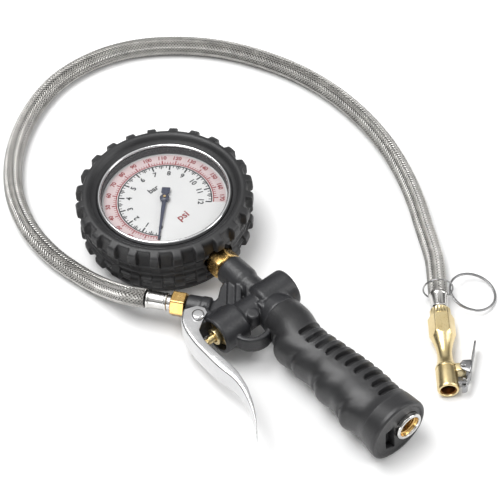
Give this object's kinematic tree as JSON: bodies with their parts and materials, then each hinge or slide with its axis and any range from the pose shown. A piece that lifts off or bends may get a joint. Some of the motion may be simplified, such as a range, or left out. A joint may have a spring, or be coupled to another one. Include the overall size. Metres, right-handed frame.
{
  "type": "tyre inflator with gauge",
  "caption": "Hand-held tyre inflator: round dial gauge in a treaded rubber boot, squeeze lever valve, ribbed grip with air inlet, and a braided hose ending in a clip-on chuck with a key ring.",
  "frame": {"origin": "middle of the footprint of everything but the hose and what hangs on it, at the height of the boot's back face, which the tool lies on", "axes": "+Z is the dial's normal and the lever pin's axis, +X runs along the handle from the gauge to the air inlet, and -Y is the side that the lever is on"},
  "size_m": [0.3739, 0.2306, 0.04],
  "materials": {
    "boot_rubber": "satin, moulded tread",
    "grip_plastic": "satin moulded",
    "black_paint": "satin black-blue paint over a casting",
    "bezel_chrome": "bright turned ring",
    "lever_chrome": "bright plated sheet",
    "steel": "plated steel",
    "hose_braid": "braided stainless wire over a rubber tube",
    "brass": "machined",
    "inlet_brass": "machined, with a nickel-plated end face",
    "chuck_brass": "machined, pale",
    "dial_white": "printed scale in two rings",
    "lens_glass": "clear",
    "seal_rubber": "matte",
    "pointer_paint": "dark blue-black paint"
  },
  "bodies": {
    "tool": {"gauge_boot": "boot_rubber", "gauge_case": "black_paint", "gauge_socket": "brass", "gauge_bezel": "bezel_chrome", "gauge_lens": "lens_glass", "dial_spacer": "seal_rubber", "gauge_dial": "dial_white", "bourdon_tube": "brass", "movement_lower_plate": "brass", "movement_upper_plate": "brass", "hairspring": "brass", "gauge_nipple": "brass", "valve_body": "black_paint", "valve_gland": "brass", "valve_spring": "steel", "valve_seal": "seal_rubber", "lever_pin": "steel", "handle_grip": "grip_plastic", "handle_end_cap": "grip_plastic", "air_tube": "steel", "inlet_seal": "seal_rubber", "inlet_insert": "inlet_brass", "inlet_filter": "brass", "hose_nut": "brass", "hose_ferrule_body_end": "steel", "hose": "hose_braid", "hose_ferrule_chuck_end": "steel", "chuck_body": "chuck_brass", "chuck_seal": "seal_rubber", "clip_pin": "steel"},
    "lever": {"squeeze_lever": "lever_chrome"},
    "stem": {"valve_stem": "brass"},
    "sector": {"sector_gear": "brass"},
    "link": {"tube_link": "brass"},
    "pointer": {"gauge_pointer": "pointer_paint", "pinion_shaft": "brass"},
    "clip": {"clip_lever": "lever_chrome"},
    "plunger": {"chuck_plunger": "brass"},
    "small_ring_body": {"small_ring": "steel"},
    "split_ring_body": {"split_ring": "steel"}
  },
  "joints": [
    {"name": "lever_hinge", "type": "hinge", "parent": "tool", "child": "lever", "pos_m": [-0.0008, -0.0322, 0.02], "axis": [0, 0, 1], "range_deg": [0, 12], "stiffness_Nm_per_rad": 0.8, "springref_deg": -11.46},
    {"name": "stem_slide", "type": "slide", "parent": "tool", "child": "stem", "axis": [0, 1, 0], "range_m": [0, 0.0028]},
    {"name": "sector_turn", "type": "hinge", "parent": "tool", "child": "sector", "pos_m": [-0.0945, 0.01895, 0.02], "axis": [0, 0, 1], "range_deg": [0, 33.75], "stiffness_Nm_per_rad": 0.02, "springref_deg": -5.73},
    {"name": "pointer_turn", "type": "hinge", "parent": "tool", "child": "pointer", "pos_m": [-0.0823, 0.0083, 0.035], "axis": [0, 0, 1], "range_deg": [-270, 0]},
    {"name": "link_swing", "type": "hinge", "parent": "sector", "child": "link", "pos_m": [-0.08753, 0.01956, 0.026], "axis": [0, 0, 1], "range_deg": [-34, 0]},
    {"name": "clip_hinge", "type": "hinge", "parent": "tool", "child": "clip", "pos_m": [0.11969, 0.06653, 0.007], "axis": [0, 0, 1], "range_deg": [0, 20], "stiffness_Nm_per_rad": 0.2, "springref_deg": -11.46},
    {"name": "plunger_slide", "type": "slide", "parent": "tool", "child": "plunger", "axis": [-0.7826, 0.6225, 0], "range_m": [0, 0.0025], "stiffness_N_per_m": 400, "springref_m": -0.001},
    {"name": "ring_turn", "type": "hinge", "parent": "tool", "child": "small_ring_body", "pos_m": [0.06723, 0.09599, 0.009], "axis": [0.7826, -0.6225, 0], "range_deg": [0, 90]},
    {"name": "split_ring_swing", "type": "hinge", "parent": "small_ring_body", "child": "split_ring_body", "pos_m": [0.07128, 0.10108, 0.0086], "axis": [0.7826, -0.6225, 0], "range_deg": [0, 100]}
  ],
  "couplings": [
    {"joint": "stem_slide", "follows": "lever_hinge", "m_per_rad": 0.0133},
    {"joint": "pointer_turn", "follows": "sector_turn", "ratio": -8},
    {"joint": "link_swing", "follows": "sector_turn", "ratio": -1}
  ]
}
